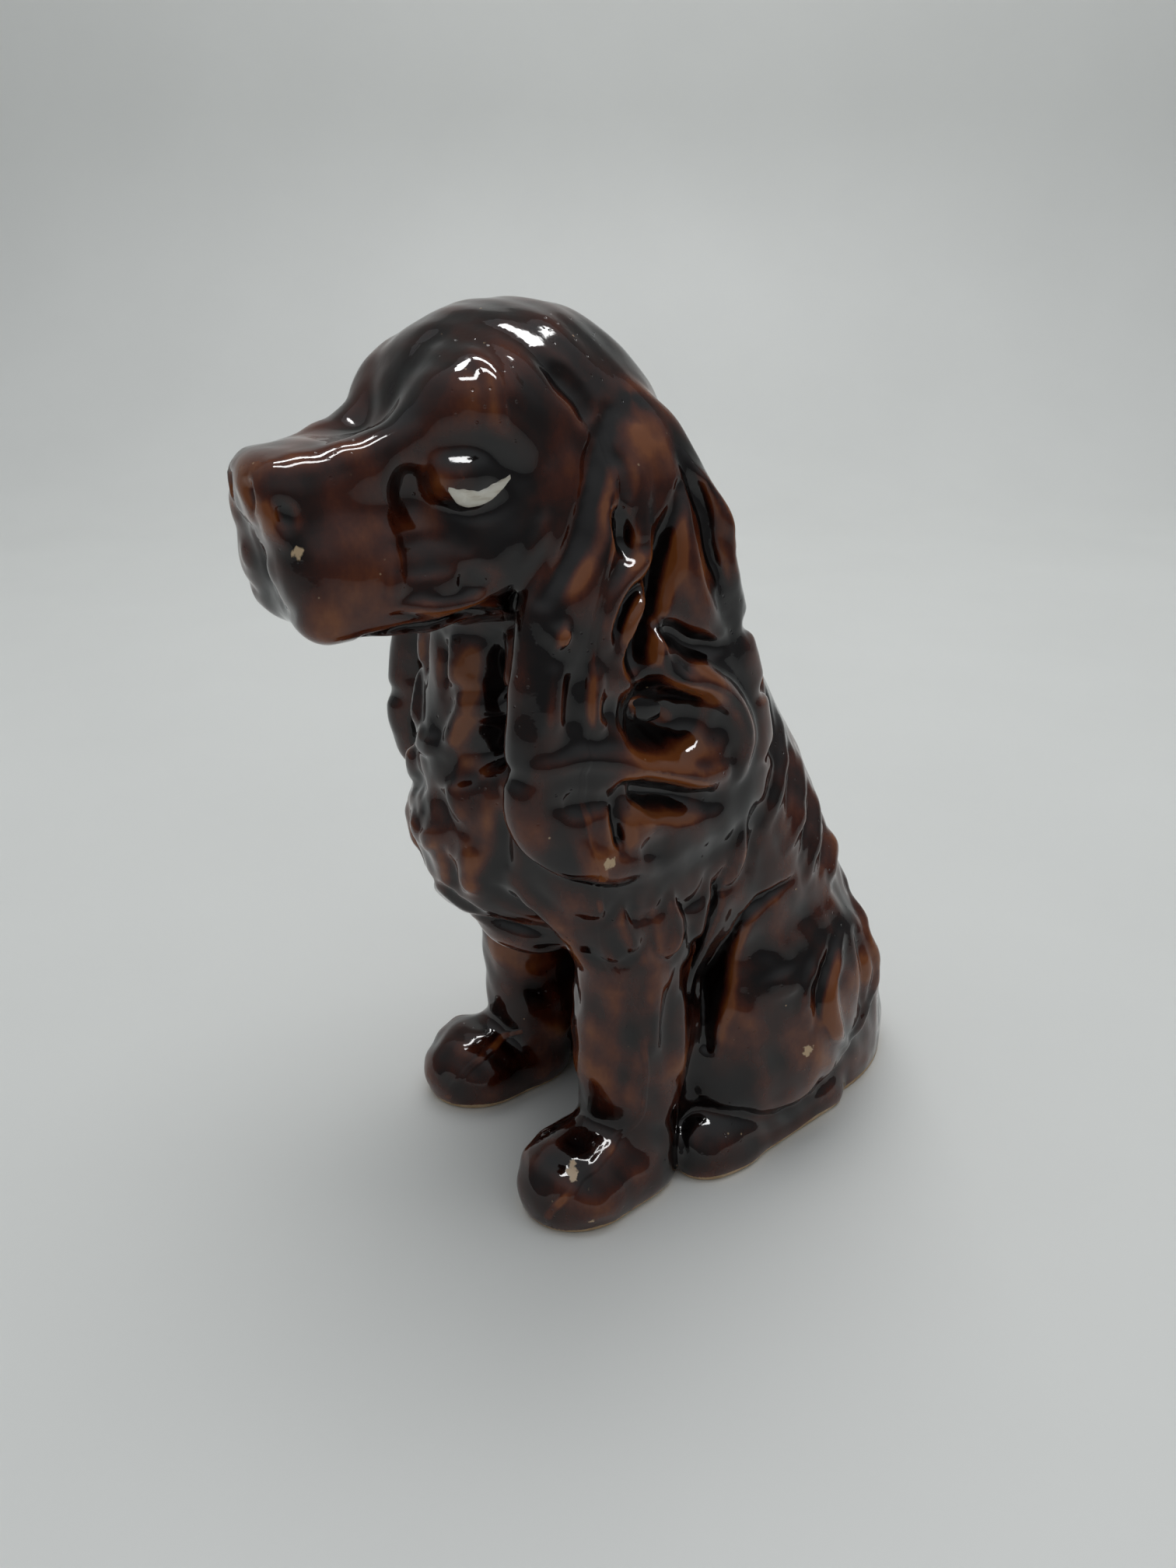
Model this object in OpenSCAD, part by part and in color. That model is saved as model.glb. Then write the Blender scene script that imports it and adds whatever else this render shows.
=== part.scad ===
// Seated spaniel figurine: a hollow, glazed earthenware casting on an unglazed foot.
// The dog faces -Y, its left side is +X, and it stands on the plane Z = 0.
// Coordinates are those of a figure 200 mm tall; figure_h scales the whole of it.

/* [Figure] */
// Height from the table to the crown of the head
figure_h = 200; // [160:5:240]

/* [Casting] */
// Wall of the slip casting
wall = 4; // [3:0.5:5]
// Thickness of the unglazed foot that closes the casting
foot_t = 3; // [2:0.5:4]
// Diameter of the pouring and vent hole in the foot
vent_d = 22; // [14:1:26]

/* [Head] */
// Width of the skull
skull_w = 54; // [50:1:58]
// Width of the muzzle across the lips
muzzle_w = 35; // [30:1:38]

/* [Ears] */
// Thickness of an ear where it hangs over the shoulder
ear_t = 17; // [14:1:19]

/* [Body] */
// Width of the body behind the ears
body_w = 70; // [64:1:72]
// Width of the figure across its haunches
haunch_w = 83; // [78:1:86]

/* [Legs] */
// Distance between the middles of the two front paws
paw_spacing = 53; // [50:1:56]
// Width of a front paw
paw_w = 26; // [22:1:27]

/* [Eyes] */
// Thickness of the white enamel under each eye
enamel_t = 0.6; // [0.4:0.1:1]

/* [Hidden] */

unit = figure_h / 200;
LEFT = 1;
RIGHT = -1;
facets = 24;
vent_y = 44;
eye = [24, -48, 171];

// Torso rings: [y of the middle, z, half width, half depth, half height]
torso_rings = [
    [43, 9, 31, 40, 24],
    [37, 40, body_w / 2 - 1, 40.5, 20],
    [18, 64, body_w / 2 - 1, 46, 20],
    [0, 88, body_w / 2, 50, 22],
    [-6, 108, body_w / 2 - 2, 45, 20],
    [-9, 128, body_w / 2 - 6, 37, 18],
    [-12, 148, body_w / 2 - 10, 28, 14],
    [-17, 168, body_w / 2 - 14, 19, 12]
];

// Ear rings for the left side: [x, y, z, half thickness, half width, half height]
ear_rings = [
    [20, -16, 180, ear_t / 2 - 2.5, 8, 6],
    [24, -15, 168, ear_t / 2 - 1.5, 16, 10],
    [26, -16, 154, ear_t / 2, 22, 12],
    [27, -15, 137, ear_t / 2, 27, 14],
    [28, -13, 118, ear_t / 2 + 0.5, 30, 14],
    [29, -13, 103, ear_t / 2 + 0.5, 29, 14]
];

// Three locks of hair down the outside of the left ear, each a row of [x, y, z]
ear_locks = [
    [[24, -24, 167], [27, -34, 148], [28.5, -35, 126], [29, -36, 106]],
    [[27, -13, 170], [31, -18, 149], [33, -12, 128], [33, -16, 104]],
    [[26, -2, 160], [29, 3, 141], [31, 5, 122], [32, 4, 103]]
];
lock_r = [6, 6.5, 7];

// Foreleg rings for the left side: [x, y, z, half thickness, half width, half height]
foreleg_rings = [
    [24, -13, 68, 12, 15, 12],
    [23, -12, 44, 10, 12.5, 12],
    [23.5, -12.5, 26, 10, 12.5, 12],
    [paw_spacing / 2 - 0.5, -14, 9, 12, 12, 10],
    [paw_spacing / 2, -28, 8, paw_w / 2, 14, 11]
];

// An ellipsoid with its half sizes in r; inset shrinks it evenly for the hollow inside.
module ellipsoid(at, r, inset = 0, fn = facets)
    translate(at)
        scale([r.x - inset, r.y - inset, r.z - inset])
            sphere(r = 1, $fn = fn);

// Each pair of neighbours in a list of rings is hulled, as a loft.
module loft(rings, inset = 0)
    for (i = [0 : len(rings) - 2])
        hull()
            for (q = [rings[i], rings[i + 1]])
                ellipsoid([q[0], q[1], q[2]], [q[3], q[4], q[5]], inset);

module both_sides() {
    children();
    mirror([1, 0, 0]) children();
}

module on_side(side)
    mirror([side == RIGHT ? 1 : 0, 0, 0]) children();

// What lies under the casting's lower edge, down to the table.
module below_casting()
    translate([-100, -100, -50]) cube([200, 200, 50 + foot_t]);

module torso_form(inset = 0) {
    loft([for (q = torso_rings) [0, q[0], q[1], q[2], q[3], q[4]]], inset);
    // Chest ruff and shoulders.
    hull() {
        ellipsoid([0, -34, 112], [18, 18, 14], inset);
        ellipsoid([0, -33, 86], [20, 19, 15], inset);
    }
    both_sides() hull() {
        ellipsoid([22, -16, 96], [15, 22, 16], inset);
        ellipsoid([24, -12, 69], [13.5, 16.5, 14], inset);
    }
}

module muzzle_form(inset = 0) {
    hull() {
        ellipsoid([0, -76, 166], [12, 9, 11], inset);
        ellipsoid([0, -55, 168], [14, 10, 13], inset);
        both_sides() ellipsoid([muzzle_w / 2 - 10, -72, 152], [10, 10, 12], inset);
        both_sides() ellipsoid([muzzle_w / 2 - 8, -50, 152], [12, 11, 13], inset);
    }
}

module head_form(inset = 0) {
    hull() {
        ellipsoid([0, -24, 169], [skull_w / 2, 29, 31], inset);
        ellipsoid([0, -41, 174], [skull_w / 2 - 3, 18, 24], inset);
        both_sides() ellipsoid([14, -42, 180], [10, 12, 11], inset);
    }
    muzzle_form(inset);
    // Cheeks and throat.
    both_sides() hull() {
        ellipsoid([16, -37, 161], [13, 16, 17], inset);
        ellipsoid([12, -26, 152], [13, 18, 14], inset);
    }
    // The bulge of the eyeballs.
    both_sides() ellipsoid(eye - [7, -1, 0], [8, 9, 7], inset);
}

// The hollow runs from the muzzle down through the neck to the foot.
module hollow() {
    head_form(wall);
    torso_form(wall);
}

module head() color("saddlebrown")
    difference() {
        head_form();
        hollow();
    }

module torso() color("sienna")
    difference() {
        torso_form();
        head_form();
        hollow();
        below_casting();
    }

module ear_form() {
    loft(ear_rings);
    for (lock = ear_locks)
        for (i = [0 : len(lock) - 2])
            hull()
                for (at = [lock[i], lock[i + 1]])
                    ellipsoid(at, lock_r, fn = 16);
}

module ear(side) color("saddlebrown")
    on_side(side) difference() {
        ear_form();
        head_form();
        torso_form();
    }

module foreleg_form() {
    loft(foreleg_rings);
}

module foreleg(side) color("sienna")
    on_side(side) difference() {
        foreleg_form();
        torso_form();
        ear_form();
        below_casting();
    }

module haunch_form() {
    hull() {
        ellipsoid([haunch_w / 2 - 16, 30, 38], [16, 28, 29]);
        ellipsoid([haunch_w / 2 - 15, 27, 20], [14, 25, 15]);
    }
}

module haunch(side) color("sienna")
    on_side(side) difference() {
        haunch_form();
        torso_form();
        foreleg_form();
        below_casting();
    }

module hind_paw(side) color("saddlebrown")
    on_side(side) difference() {
        union() {
            hull() {
                ellipsoid([haunch_w / 2 - 8, 6, 7], [7, 10, 8]);
                ellipsoid([haunch_w / 2 - 12, 20, 6], [9, 16, 7]);
            }
            hull() {
                ellipsoid([haunch_w / 2 - 12, 20, 6], [9, 14, 7]);
                ellipsoid([haunch_w / 2 - 15, 36, 5], [11, 15, 7]);
            }
        }
        haunch_form();
        torso_form();
        foreleg_form();
        below_casting();
    }

module tail() color("sienna")
    difference() {
        hull() {
            ellipsoid([0, 72, 24], [8, 7, 9]);
            ellipsoid([0, 78.5, 9], [9, 6.5, 10]);
        }
        torso_form();
        below_casting();
    }

// Outline of the foot: the two front paws, the hind paws and the seat.
module foot_outline() {
    both_sides() {
        hull() {
            translate([paw_spacing / 2, -28]) circle(d = paw_w - 3);
            translate([paw_spacing / 2 - 0.5, -12]) circle(d = paw_w - 4);
        }
        hull() {
            translate([paw_spacing / 2 + 2, -8]) circle(r = 8);
            translate([haunch_w / 2 - 8, 7]) circle(r = 6);
        }
        hull() {
            translate([haunch_w / 2 - 8, 7]) circle(r = 6);
            translate([haunch_w / 2 - 14, 34]) circle(r = 9);
        }
    }
    hull() {
        both_sides() translate([17, 18]) circle(r = 10);
        both_sides() translate([10, 52]) circle(r = 19);
        translate([0, 76]) circle(r = 6);
    }
}

module foot() color("tan")
    difference() {
        linear_extrude(height = foot_t) foot_outline();
        translate([0, vent_y, -1]) cylinder(h = foot_t + 2, d = vent_d, $fn = 96);
    }

// White enamel brushed on under the eye, following the curve of the face.
module eye_white(side) color("ivory")
    on_side(side) difference() {
        intersection() {
            head_form(-enamel_t);
            union() {
                hull() {
                    ellipsoid(eye + [0, -3, -4], [8, 3, 2.6]);
                    ellipsoid(eye + [0, 2, -4.2], [8, 3, 2.2]);
                }
                hull() {
                    ellipsoid(eye + [0, 2, -4], [8, 3, 2]);
                    ellipsoid(eye + [0, 8, -1.6], [8, 1.6, 0.8]);
                }
            }
        }
        head_form();
    }

scale(unit) head();
scale(unit) torso();
scale(unit) ear(LEFT);  // left_ear
scale(unit) ear(RIGHT);  // right_ear
scale(unit) foreleg(LEFT);  // left_foreleg
scale(unit) foreleg(RIGHT);  // right_foreleg
scale(unit) haunch(LEFT);  // left_haunch
scale(unit) haunch(RIGHT);  // right_haunch
scale(unit) hind_paw(LEFT);  // left_hind_paw
scale(unit) hind_paw(RIGHT);  // right_hind_paw
scale(unit) tail();
scale(unit) foot();
scale(unit) eye_white(LEFT);  // left_eye_white
scale(unit) eye_white(RIGHT);  // right_eye_white
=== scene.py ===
"""A seated spaniel figurine in brown glazed earthenware.

The figure is sculpted as one continuous surface from smoothly joined forms, with hair
relief laid over them, and is then divided along its creases into the CAD model's pieces.
Lengths in the sculpting part are millimetres; Blender objects are in metres.
"""

import math

import bpy
import numpy as np
import openvdb as vdb
from mathutils import Matrix, Vector
from mathutils.bvhtree import BVHTree


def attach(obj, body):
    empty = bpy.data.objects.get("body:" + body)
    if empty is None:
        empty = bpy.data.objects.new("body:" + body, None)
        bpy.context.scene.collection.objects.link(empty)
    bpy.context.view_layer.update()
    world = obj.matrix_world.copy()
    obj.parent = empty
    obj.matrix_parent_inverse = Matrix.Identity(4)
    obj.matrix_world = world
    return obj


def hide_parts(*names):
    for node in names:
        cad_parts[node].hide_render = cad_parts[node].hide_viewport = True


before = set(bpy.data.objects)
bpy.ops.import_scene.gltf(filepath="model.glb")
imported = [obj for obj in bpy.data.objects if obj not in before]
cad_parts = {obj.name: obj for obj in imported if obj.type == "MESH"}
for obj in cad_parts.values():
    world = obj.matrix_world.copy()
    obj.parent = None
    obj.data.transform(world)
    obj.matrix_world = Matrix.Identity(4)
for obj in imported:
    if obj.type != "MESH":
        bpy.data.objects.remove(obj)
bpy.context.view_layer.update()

MM = 0.001
CELL = 0.7          # spacing of the sculpting grid
COARSE = 4          # cells per block of the coarse search grid
BATCH = 400000      # grid points worked out at a time
BAND = 3.0          # distances are kept up to this far from the surface
SLACK = 2.5         # how far the distance to the surface can be out in the coarse search
CORNER_LOW = np.array([0, -92, -4.0])       # corners of the half that is sculpted
CORNER_HIGH = np.array([46, 92, 206.0])
WALL = 3.0          # thickness of the visible casting wall
INNER_KEPT = 0.12   # share of the hidden inner wall's vertices that is kept
GLAZE_LINE = 1.6    # height at which the glaze stops above the table
VENT_CENTRE, VENT_RADIUS = np.array([0, 44]), 11.0      # the hole in the foot


# ---------------------------------------------------------------- forms
def local(p, centre, tilt):
    """Points seen from a centre, in axes turned about the X axis by tilt degrees."""
    x, y, z = p[0] - centre[0], p[1] - centre[1], p[2] - centre[2]
    c, s = math.cos(math.radians(tilt)), math.sin(math.radians(tilt))
    return x, c * y + s * z, c * z - s * y


def ellipsoid(p, centre, radii, tilt=0.0):
    """Distance to an ellipsoid, near enough close to its surface."""
    x, y, z = local(p, centre, tilt)
    a, b, c = radii
    k0 = np.sqrt((x / a) ** 2 + (y / b) ** 2 + (z / c) ** 2) + 1e-6
    k1 = np.sqrt((x / a**2) ** 2 + (y / b**2) ** 2 + (z / c**2) ** 2) + 1e-6
    return k0 * (k0 - 1) / k1


def cone(p, a, b, ra, rb):
    """Distance to a rod from a to b whose radius runs from ra to rb."""
    a, b = np.asarray(a, float), np.asarray(b, float)
    d = b - a
    x, y, z = p[0] - a[0], p[1] - a[1], p[2] - a[2]
    t = np.clip((x * d[0] + y * d[1] + z * d[2]) / (d @ d), 0, 1)
    away = np.sqrt((x - t * d[0]) ** 2 + (y - t * d[1]) ** 2 + (z - t * d[2]) ** 2)
    return away - (ra + (rb - ra) * t)


def block(p, centre, half, rounding, tilt=0.0):
    """Distance to a box with rounded edges."""
    q = [np.abs(v) - (h - rounding) for v, h in zip(local(p, centre, tilt), half)]
    outside = np.sqrt(sum(np.maximum(v, 0) ** 2 for v in q))
    return outside + np.minimum(np.maximum(np.maximum(q[0], q[1]), q[2]), 0) - rounding


def join(k, *parts):
    """Union of forms with a fillet about k wide."""
    total = parts[0]
    for part in parts[1:]:
        h = np.maximum(k - np.abs(total - part), 0) / k
        total = np.minimum(total, part) - h * h * k / 4
    return total


def cut(k, a, b):
    """Form a with form b taken out, the edge rounded by about k."""
    return -join(k, -a, b)


def smoothstep(lo, hi, v):
    """0 up to lo and 1 from hi on, with a smooth rise between; lo above hi makes it fall."""
    t = np.clip((v - lo) / (hi - lo), 0, 1)
    return t * t * (3 - 2 * t)


def curve_through(points, steps):
    """Points along a smooth curve that passes through the given ones."""
    q = np.array(points, float)
    q = np.vstack([2 * q[0] - q[1], q, 2 * q[-1] - q[-2]])
    out = []
    for i in range(1, len(q) - 2):
        for t in np.arange(steps) / steps:
            out.append(0.5 * ((2 * q[i]) + (q[i + 1] - q[i - 1]) * t
                              + (2 * q[i - 1] - 5 * q[i] + 4 * q[i + 1] - q[i + 2]) * t**2
                              + (3 * q[i] - q[i - 1] - 3 * q[i + 1] + q[i + 2]) * t**3))
    out.append(q[-2])
    return np.array(out)


# Body sections: height, front, back, half width
BODY_ROWS = [
    (-6, 8, 86, 30), (0, 7, 85.5, 31), (14, 5, 84, 32), (30, 3, 79, 33),
    (45, -2, 71.5, 34), (60, -14, 63.5, 34.5), (75, -24, 56, 35), (90, -30, 48.5, 35),
    (105, -34, 40.5, 34), (120, -38, 32.5, 32), (135, -38, 24, 28), (150, -36, 14, 24),
    (165, -34, 5, 21), (180, -30, -6, 17),
]
BODY_TABLE = curve_through(BODY_ROWS, 6)


def across_rows(table, z):
    """Each column of a table of rows, read at the heights z."""
    rows = table[np.argsort(table[:, 0])]
    return [np.interp(z, rows[:, 0], rows[:, c]) for c in range(1, rows.shape[1])]


def body_column(p):
    """The neck, back and rump as a stack of ellipses that leans back as it goes down."""
    front, back, a = across_rows(BODY_TABLE, p[2])
    b = (back - front) / 2
    y = p[1] - (front + back) / 2
    k0 = np.sqrt((p[0] / a) ** 2 + (y / b) ** 2) + 1e-6
    k1 = np.sqrt((p[0] / a**2) ** 2 + (y / b**2) ** 2) + 1e-6
    lean, top = 0.93, 182
    return np.maximum(k0 * (k0 - 1) / k1 * lean, p[2] - top)


def torso_form(p):
    chest = join(8, ellipsoid(p, (0, -22, 98), (31, 29, 27)),
                 ellipsoid(p, (0, -34, 88), (19, 16, 19)))
    shoulder = join(6, ellipsoid(p, (23, -15, 92), (14.5, 22, 24)),
                    ellipsoid(p, (24, -12, 74), (13, 17, 17)))
    throat = cone(p, (0, -30, 118), (0, -32, 140), 19, 15)
    ruff = join(4, ellipsoid(p, (0, -25, 68), (16, 14, 11)),
                ellipsoid(p, (0, -34, 80), (17, 14, 11)))
    # The casting closes the gap between foreleg and haunch with a shallow web.
    web = cone(p, (19, 0, 64), (22.5, 4, 6), 10, 7.5)
    return join(5, join(9, body_column(p), chest, shoulder, throat), ruff, web)


def muzzle_form(p):
    """A square spaniel muzzle: flat on top, flat sided, and wider towards the lips."""
    flare, slope = 0.15, 0.03       # outwards and backwards, per mm of the way down
    below_top, below_nose = np.clip(176 - p[2], 0, 32), np.clip(166 - p[2], 0, 30)
    sheared = (np.maximum(p[0] - flare * below_top, 0), p[1] - slope * below_nose, p[2])
    main = block(sheared, (0, -61.8, 160.5), (13.0, 19.8, 16.5), 5.4, tilt=8)
    nose = block(p, (0, -74.9, 168.5), (9.0, 6.8, 6.5), 4.5, tilt=6)
    flew = join(4, cone(p, (9, -71, 155.5), (10.5, -56, 154), 9, 10),
                cone(p, (8, -69, 150.5), (10.5, -54, 150.5), 8.5, 9.8))
    chin = ellipsoid(p, (0, -62, 148.5), (12, 11, 8.5))
    return join(4, main, nose, flew, chin)


def head_form(p):
    skull = join(12, ellipsoid(p, (0, -24, 169.5), (26, 29, 30)),
                 ellipsoid(p, (0, -37, 179.5), (20, 17.5, 17)))
    brow = ellipsoid(p, (14.5, -41.5, 182), (11, 12, 9), tilt=-20)
    cheek = ellipsoid(p, (16.5, -37, 160), (11.5, 15, 15))
    jaw = ellipsoid(p, (0, -38, 151), (17, 19, 12))
    head = join(6, join(8, skull, cheek, jaw), brow)
    bridge = cone(p, (9.5, -62, 172.5), (13, -49, 179.5), 5.2, 6.5)
    head = join(5, head, muzzle_form(p), bridge)
    # The socket in front of and round the eye, then the eyeball in it.
    head = cut(8, head, ellipsoid(p, (28, -52, 168.5), (6.5, 7, 7.5), tilt=10))
    eyeball = ellipsoid(p, (18.2, -47.5, 170.8), (6.5, 7.0, 5.8))
    return join(3.0, head, eyeball)


# Ear outline, seen from the side: height, front edge, rear edge, outer face, thickness
EAR_ROWS = [
    (188, -16, -14, 17, 1.5), (184, -20, -9, 20.5, 5), (178, -25, -3, 25, 9),
    (170, -30, 2, 29, 11), (160, -36, 6, 31.5, 13), (148, -41, 10, 33.5, 14),
    (135, -43.5, 13, 35, 15), (120, -45.5, 17, 36.5, 16), (106, -46, 18.5, 38, 17),
    (96, -42, 14, 38.5, 16), (90.5, -34, 5, 37.5, 13), (87.5, -25, -4, 36, 9),
    (86, -16, -12, 33, 3),
]
EAR_TABLE = curve_through(EAR_ROWS, 6)


def ear_form(p):
    """A long hanging flap, thick in the middle and rounded all along its edge."""
    bottom, top = 86, 188
    front, rear, outer, thick = across_rows(EAR_TABLE, np.clip(p[2], bottom, top))
    b, y = (rear - front) / 2, p[1] - (front + rear) / 2
    x = p[0] - (outer - thick / 2)
    # Each section is a superellipse. The distance to it is corrected by its slope.
    a, m = thick / 2, 2.5
    u, v = np.abs(x / a) + 1e-4, np.abs(y / b) + 1e-4
    q = (u**m + v**m) ** (1 / m)
    slope = q ** (1 - m) * np.sqrt((u ** (m - 1) / a) ** 2 + (v ** (m - 1) / b) ** 2)
    near = (q - 1) / np.maximum(slope, 0.05)
    beyond = np.maximum(np.maximum(bottom - p[2], p[2] - top), 0)
    return np.sqrt(np.maximum(near, 0) ** 2 + beyond**2) + np.minimum(near, 0)


def foreleg_form(p):
    upper = cone(p, (23.5, -13, 70), (23, -12, 44), 13.5, 10.8)
    lower = cone(p, (23, -12, 44), (24, -13, 18), 10.8, 10.6)
    wide = ellipsoid(p, (23.5, -12, 40), (10.5, 13.5, 40))
    paw = join(5, ellipsoid(p, (26, -27.5, 6), (14.0, 16.3, 13)),
               ellipsoid(p, (25.5, -14, 6), (12.5, 12.5, 11)))
    return join(5, join(6, upper, lower, wide), paw)


def haunch_form(p):
    return join(8, ellipsoid(p, (25, 31, 37), (16.5, 29, 30), tilt=12),
                ellipsoid(p, (27, 24, 22), (13.5, 24, 16)))


def hind_paw_form(p):
    toe = ellipsoid(p, (33, 7, 5), (8.2, 11.5, 10.5))
    hock = cone(p, (31.5, 14, 4), (27, 45, 3), 8.5, 8)
    return join(4, toe, hock)


def tail_form(p):
    return join(3, cone(p, (0, 73, 24), (0, 79, 10), 6.5, 7),
                ellipsoid(p, (0, 79, 5), (9, 6.5, 7)))


FORMS = [("head", head_form), ("torso", torso_form), ("ear", ear_form), ("foreleg", foreleg_form),
         ("haunch", haunch_form), ("hind_paw", hind_paw_form), ("tail", tail_form)]


def forms(p):
    """Distances to every form at points p, for the left side; the right side mirrors it."""
    q = (np.abs(p[0]), p[1], p[2])
    return {name: form(q) for name, form in FORMS}


# ---------------------------------------------------------------- relief
# Brush strokes laid over the forms. Each has a half width, a height (below zero it is a
# groove) and the points it runs through: (x, z) seen from the front on the chest and the
# muzzle, and (y, z) seen from the side everywhere else.

# The groove between the cheek and the front of the ear, cut into both.
CHEEK_GROOVE = (3.4, -2.6, [(-20, 181), (-24, 174), (-27, 167), (-30, 160), (-34, 154),
                            (-38, 149)])
EAR_STROKES = [
    CHEEK_GROOVE,
    (6.0, 1.8, [(-20, 180), (-24, 168), (-27, 160), (-31, 150), (-33, 141)]),      # front lock
    (4.5, 1.6, [(-15, 177), (-17, 168), (-18, 161), (-18, 156)]),                  # middle lock
    (3.0, -2.6, [(-23, 166), (-22, 161), (-21, 156)]),
    (3.4, 2.2, [(-14, 157), (-19, 154), (-24, 150), (-26, 146), (-27, 140)]),      # slanting wisp
    (2.3, -2.0, [(-17, 151), (-21, 148), (-24, 144), (-24, 139)]),
    (3.0, 2.0, [(-16, 149), (-20, 146), (-22, 143), (-23, 138)]),                  # its partner
    (3.8, -5.0, [(-8, 167), (-12, 158), (-14, 152), (-16, 145), (-19, 139), (-20, 134),
                 (-18, 130)]),
    (5.0, 2.2, [(-11, 174), (-8, 162), (-7, 152), (-4, 144), (1, 138)]),           # rear lock
    (2.6, -1.8, [(-6, 172), (-2, 162), (-1, 154), (2, 147)]),
    (4.2, 1.6, [(-1, 168), (3, 158), (4, 150), (8, 143)]),
    (2.4, -1.4, [(-22, 176), (-20, 170), (-22, 164)]),
    (3.4, 1.3, [(-17, 178), (-20, 168), (-24, 160), (-27, 150)]),
    (3.0, 1.4, [(-4, 172), (2, 164), (5, 155)]),
    (3.4, -3.0, [(-15, 143), (-10, 139), (-5, 136), (1, 135)]),
    (3.6, 2.6, [(-16, 142), (-15, 136), (-12, 131), (-7, 127)]),                   # S-shaped lock
    (4.6, 3.2, [(-11, 136), (-9, 132), (-4, 129), (1, 126), (5, 121), (7, 114), (5, 107)]),
    (8.5, -6.8, [(-25, 127), (-17, 124), (-9, 121), (-2, 118)]),                   # big hollow
    (4.2, 2.2, [(-42, 117), (-32, 118), (-24, 116), (-16, 112), (-7, 109), (1, 109)]),  # ledge
    (6.2, -5.6, [(-28, 109), (-20, 108), (-12, 105.5), (-2, 102.5)]),              # below it
    (4.2, -1.8, [(-38, 109.5), (-34, 109), (-30, 108)]),
    (3.0, -2.6, [(-27, 108), (-26, 102), (-25, 97)]),
    (2.4, 1.8, [(-22, 112), (-23, 107), (-19, 103)]),
    (3.2, -1.4, [(-32, 137), (-34, 130), (-34, 122)]),  # channel in front
    (2.8, 1.1, [(-37, 139), (-38, 131), (-39, 122)]),
    (2.8, 1.6, [(-29, 138), (-30, 130), (-30, 122)]),
    (2.2, 1.4, [(-28.5, 124.5), (-28, 124)]),                                      # a bead of glaze
    (3.4, -0.7, [(-48, 115), (-43, 115)]), (3.6, -1.3, [(16, 139), (8, 136)]),     # notched edges
    (3.2, -1.4, [(22, 124), (12, 122)]), (3.0, -1.0, [(22, 109), (13, 107)]),
    (4.0, 2.4, [(-37, 143), (-35, 142)]),
    (6.0, -1.4, [(-22, 96), (-12, 95)]), (5.0, 1.4, [(-34, 99), (-28, 93), (-14, 91)]),
]
FACE_STROKES = [
    CHEEK_GROOVE,
    (4.8, -1.6, [(-56, 175), (-57, 171), (-57, 167), (-55, 162)]),                 # before the eye
    (4.0, -0.5, [(-53, 162), (-51, 160), (-48, 158)]),
    (3.6, -0.9, [(-51, 155), (-48, 152.5), (-45, 151)]),                           # mouth corner
    (7.0, -1.8, [(-57, 162), (-57, 153)]),                                         # behind the flew
    (2.4, 1.0, [(-62, 162), (-62, 157), (-63, 153), (-64, 149)]),
    (2.2, 1.6, [(-65, 149), (-60, 149), (-55, 148), (-50, 148), (-47, 149), (-45, 151)]),
    (2.0, -2.0, [(-68, 143), (-59, 143.5), (-53, 144), (-49, 145), (-42, 145)]),
    (2.2, -1.7, [(-80.5, 168.5), (-79.5, 166.5), (-79.5, 164)]),                   # nostril
    (1.8, 0.8, [(-83, 169), (-82, 164), (-80, 160)]),
    (3.2, 0.7, [(-82, 174), (-79, 174.5), (-72, 175), (-64, 177), (-57, 180)]),    # top edge
    (2.6, -0.25, [(-53, 173), (-50.5, 175.6), (-46, 175.8), (-42, 173), (-40, 171)]),  # upper lid
    (3.8, 0.6, [(-50, 181), (-44, 181), (-39, 177), (-36, 172)]),
    (1.8, -0.6, [(-53, 169), (-51, 165.5), (-47, 164.5), (-42, 167)]),             # lower lid
    (2.6, 0.9, [(-50.3, 172.6), (-50, 172.4)]),                                    # pupil
    (8.0, 1.2, [(-46, 186), (-42, 186)]),                                          # brow
    (9.0, 1.2, [(-40, 160), (-36, 158)]),                                          # cheek
    (3.4, -1.6, [(-32, 190), (-26, 184), (-24, 178)]),                             # temple
    (4.5, -2.2, [(-41, 149), (-37, 148)]),                                         # under the cheek
]
CHEST_STROKES = [
    (8.0, 3.2, [(21, 143), (21, 134), (22, 127)]),  # long throat lock
    (4.6, 1.8, [(8.5, 140), (9, 132), (9, 127)]),
    (2.8, -2.2, [(14, 139), (14.5, 130), (14, 124)]),
    (2.6, -1.4, [(3, 137), (5, 132), (4.5, 125)]),
    (4.0, 2.0, [(12, 128), (10, 121), (7, 113)]),
    (5.0, -4.4, [(16, 123), (15, 116), (13, 110)]),                                # pointed hollow
    (5.0, 1.6, [(22, 120), (23, 112), (21, 106)]),
    (5.0, 1.8, [(11, 109), (11.5, 104), (10, 99)]),
    (7.0, 1.8, [(0, 116), (2, 110)]),
    (4.2, -1.6, [(1, 102.5), (7, 101.5), (13, 98)]),  # between the tufts
    (2.8, -1.4, [(20, 104), (20.5, 96), (19, 88)]),
    (7.0, 1.7, [(2, 95), (5, 90)]), (4.0, 1.5, [(14, 95), (15, 88), (12, 81)]),
    (3.0, -1.4, [(8, 92), (9, 86), (6, 80)]),
    (3.0, -1.4, [(1, 80), (6, 78), (12, 75)]),
    (3.0, -1.8, [(0, 70), (8, 70), (15, 68), (19, 65)]),  # crease of the ruff
    (4.0, 1.4, [(22, 86), (25, 77), (25, 68)]), (2.8, -1.1, [(18, 84), (20, 76), (20, 68)]),
    (2.6, -0.8, [(22, 62), (21, 48), (22, 34)]), (3.0, 0.7, [(27, 64), (26, 50), (27, 36)]),
]
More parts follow.
